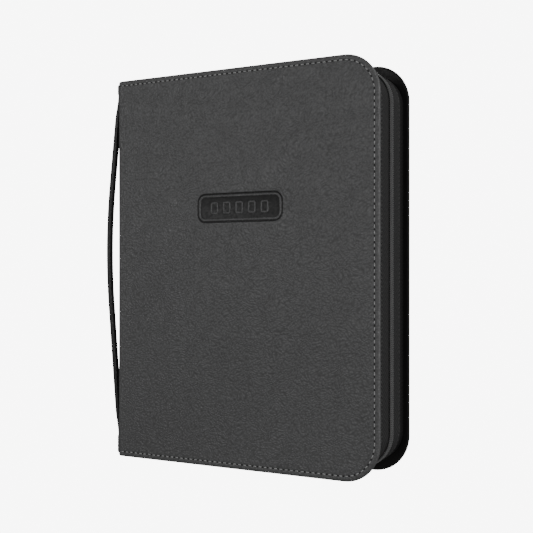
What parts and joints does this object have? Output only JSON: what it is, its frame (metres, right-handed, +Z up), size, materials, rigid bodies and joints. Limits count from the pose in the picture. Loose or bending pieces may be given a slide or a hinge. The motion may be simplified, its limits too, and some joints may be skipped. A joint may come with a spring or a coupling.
{
  "type": "trading card binder",
  "caption": "Zip-round pebbled leather-look binder with fixed side-loading card pages, a stitched border, a pressed plate and a bowed strap handle on its spine.",
  "frame": {"origin": "centre of the bottom of the whole object, with the bowed strap included, on the surface it stands on", "axes": "+X from the spine to the fore-edge, +Y from the front cover to the back cover, +Z up along the spine"},
  "size_m": [0.275, 0.061, 0.34],
  "materials": {
    "pebbled_leather": "matt, fine pebbled grain",
    "gusset_leather": "matt",
    "strap_leather": "satin",
    "foam": "open cell",
    "board": "grey pulp board",
    "lining": "brushed textile",
    "zip_tape": "woven",
    "zip_coil": "satin nylon coil",
    "zip_metal": "black enamel",
    "binding_board": "matt",
    "post_metal": "brushed",
    "page_film": "black backing under clear film"
  },
  "bodies": {
    "back_cover": {"back_cover_skin": "pebbled_leather", "back_cover_foam": "foam", "back_cover_board": "board", "back_cover_lining": "lining", "back_gusset": "gusset_leather", "back_zip_tape": "zip_tape", "back_zip_coil": "zip_coil", "zip_end_stops": "zip_metal"},
    "spine": {"spine_skin": "pebbled_leather", "spine_board": "board", "spine_lining": "lining", "front_hinge_leather": "pebbled_leather", "back_hinge_leather": "pebbled_leather", "handle_strap": "strap_leather", "strap_end_patches": "strap_leather", "front_binding_bar": "binding_board", "back_binding_bar": "binding_board", "page_roots": "page_film", "page_spacers": "binding_board", "binding_posts": "post_metal"},
    "front_cover": {"front_cover_skin": "pebbled_leather", "front_cover_foam": "foam", "front_cover_board": "board", "front_cover_lining": "lining", "front_gusset": "gusset_leather", "front_zip_tape": "zip_tape", "front_zip_coil": "zip_coil"},
    "zip_slider": {"zip_slider": "zip_metal"},
    "zip_pull": {"zip_pull": "zip_metal"},
    "page_01": {"page_01": "page_film"},
    "page_02": {"page_02": "page_film"},
    "page_03": {"page_03": "page_film"},
    "page_04": {"page_04": "page_film"},
    "page_05": {"page_05": "page_film"},
    "page_06": {"page_06": "page_film"},
    "page_07": {"page_07": "page_film"},
    "page_08": {"page_08": "page_film"},
    "page_09": {"page_09": "page_film"},
    "page_10": {"page_10": "page_film"},
    "page_11": {"page_11": "page_film"},
    "page_12": {"page_12": "page_film"},
    "page_13": {"page_13": "page_film"},
    "page_14": {"page_14": "page_film"},
    "page_15": {"page_15": "page_film"},
    "page_16": {"page_16": "page_film"},
    "page_17": {"page_17": "page_film"},
    "page_18": {"page_18": "page_film"},
    "page_19": {"page_19": "page_film"},
    "page_20": {"page_20": "page_film"}
  },
  "joints": [
    {"name": "spine_hinge", "type": "hinge", "parent": "back_cover", "child": "spine", "pos_m": [-0.12193, 0.02996, 0.17], "axis": [0, 0, -1], "range_deg": [0, 90], "deforming": ["back_hinge_leather"]},
    {"name": "front_hinge", "type": "hinge", "parent": "spine", "child": "front_cover", "pos_m": [-0.12193, -0.02996, 0.17], "axis": [0, 0, -1], "range_deg": [0, 90], "deforming": ["front_hinge_leather"]},
    {"name": "zip_travel", "type": "slide", "parent": "back_cover", "child": "zip_slider", "axis": [1, 0, 0], "range_m": [0, 0.195], "deforming": ["front_zip_coil", "back_zip_coil"]},
    {"name": "pull_hinge", "type": "hinge", "parent": "zip_slider", "child": "zip_pull", "pos_m": [-0.09847, 0, 0.3353], "axis": [0, -1, 0], "range_deg": [0, 160]},
    {"name": "page_01_fold", "type": "hinge", "parent": "spine", "child": "page_01", "pos_m": [-0.11187, -0.02375, 0.17], "axis": [0, 0, -1], "range_deg": [0, 80]},
    {"name": "page_02_fold", "type": "hinge", "parent": "spine", "child": "page_02", "pos_m": [-0.11187, -0.02125, 0.17], "axis": [0, 0, -1], "range_deg": [0, 72]},
    {"name": "page_03_fold", "type": "hinge", "parent": "spine", "child": "page_03", "pos_m": [-0.11187, -0.01875, 0.17], "axis": [0, 0, -1], "range_deg": [0, 64]},
    {"name": "page_04_fold", "type": "hinge", "parent": "spine", "child": "page_04", "pos_m": [-0.11187, -0.01625, 0.17], "axis": [0, 0, -1], "range_deg": [0, 56]},
    {"name": "page_05_fold", "type": "hinge", "parent": "spine", "child": "page_05", "pos_m": [-0.11187, -0.01375, 0.17], "axis": [0, 0, -1], "range_deg": [0, 48]},
    {"name": "page_06_fold", "type": "hinge", "parent": "spine", "child": "page_06", "pos_m": [-0.11187, -0.01125, 0.17], "axis": [0, 0, -1], "range_deg": [0, 40]},
    {"name": "page_07_fold", "type": "hinge", "parent": "spine", "child": "page_07", "pos_m": [-0.11187, -0.00875, 0.17], "axis": [0, 0, -1], "range_deg": [0, 32]},
    {"name": "page_08_fold", "type": "hinge", "parent": "spine", "child": "page_08", "pos_m": [-0.11187, -0.00625, 0.17], "axis": [0, 0, -1], "range_deg": [0, 24]},
    {"name": "page_09_fold", "type": "hinge", "parent": "spine", "child": "page_09", "pos_m": [-0.11187, -0.00375, 0.17], "axis": [0, 0, -1], "range_deg": [0, 16]},
    {"name": "page_10_fold", "type": "hinge", "parent": "spine", "child": "page_10", "pos_m": [-0.11187, -0.00125, 0.17], "axis": [0, 0, -1], "range_deg": [0, 8]},
    {"name": "page_11_fold", "type": "hinge", "parent": "spine", "child": "page_11", "pos_m": [-0.11187, 0.00125, 0.17], "axis": [0, 0, 1], "range_deg": [0, 8]},
    {"name": "page_12_fold", "type": "hinge", "parent": "spine", "child": "page_12", "pos_m": [-0.11187, 0.00375, 0.17], "axis": [0, 0, 1], "range_deg": [0, 16]},
    {"name": "page_13_fold", "type": "hinge", "parent": "spine", "child": "page_13", "pos_m": [-0.11187, 0.00625, 0.17], "axis": [0, 0, 1], "range_deg": [0, 24]},
    {"name": "page_14_fold", "type": "hinge", "parent": "spine", "child": "page_14", "pos_m": [-0.11187, 0.00875, 0.17], "axis": [0, 0, 1], "range_deg": [0, 32]},
    {"name": "page_15_fold", "type": "hinge", "parent": "spine", "child": "page_15", "pos_m": [-0.11187, 0.01125, 0.17], "axis": [0, 0, 1], "range_deg": [0, 40]},
    {"name": "page_16_fold", "type": "hinge", "parent": "spine", "child": "page_16", "pos_m": [-0.11187, 0.01375, 0.17], "axis": [0, 0, 1], "range_deg": [0, 48]},
    {"name": "page_17_fold", "type": "hinge", "parent": "spine", "child": "page_17", "pos_m": [-0.11187, 0.01625, 0.17], "axis": [0, 0, 1], "range_deg": [0, 56]},
    {"name": "page_18_fold", "type": "hinge", "parent": "spine", "child": "page_18", "pos_m": [-0.11187, 0.01875, 0.17], "axis": [0, 0, 1], "range_deg": [0, 64]},
    {"name": "page_19_fold", "type": "hinge", "parent": "spine", "child": "page_19", "pos_m": [-0.11187, 0.02125, 0.17], "axis": [0, 0, 1], "range_deg": [0, 72]},
    {"name": "page_20_fold", "type": "hinge", "parent": "spine", "child": "page_20", "pos_m": [-0.11187, 0.02375, 0.17], "axis": [0, 0, 1], "range_deg": [0, 80]}
  ],
  "couplings": [
    {"joint": "page_01_fold", "follows": "front_hinge", "ratio": 0.88889},
    {"joint": "page_02_fold", "follows": "front_hinge", "ratio": 0.8},
    {"joint": "page_03_fold", "follows": "front_hinge", "ratio": 0.71111},
    {"joint": "page_04_fold", "follows": "front_hinge", "ratio": 0.62222},
    {"joint": "page_05_fold", "follows": "front_hinge", "ratio": 0.53333},
    {"joint": "page_06_fold", "follows": "front_hinge", "ratio": 0.44444},
    {"joint": "page_07_fold", "follows": "front_hinge", "ratio": 0.35556},
    {"joint": "page_08_fold", "follows": "front_hinge", "ratio": 0.26667},
    {"joint": "page_09_fold", "follows": "front_hinge", "ratio": 0.17778},
    {"joint": "page_10_fold", "follows": "front_hinge", "ratio": 0.088888},
    {"joint": "page_11_fold", "follows": "spine_hinge", "ratio": 0.088888},
    {"joint": "page_12_fold", "follows": "spine_hinge", "ratio": 0.17778},
    {"joint": "page_13_fold", "follows": "spine_hinge", "ratio": 0.26667},
    {"joint": "page_14_fold", "follows": "spine_hinge", "ratio": 0.35556},
    {"joint": "page_15_fold", "follows": "spine_hinge", "ratio": 0.44444},
    {"joint": "page_16_fold", "follows": "spine_hinge", "ratio": 0.53333},
    {"joint": "page_17_fold", "follows": "spine_hinge", "ratio": 0.62222},
    {"joint": "page_18_fold", "follows": "spine_hinge", "ratio": 0.71111},
    {"joint": "page_19_fold", "follows": "spine_hinge", "ratio": 0.8},
    {"joint": "page_20_fold", "follows": "spine_hinge", "ratio": 0.88889}
  ]
}
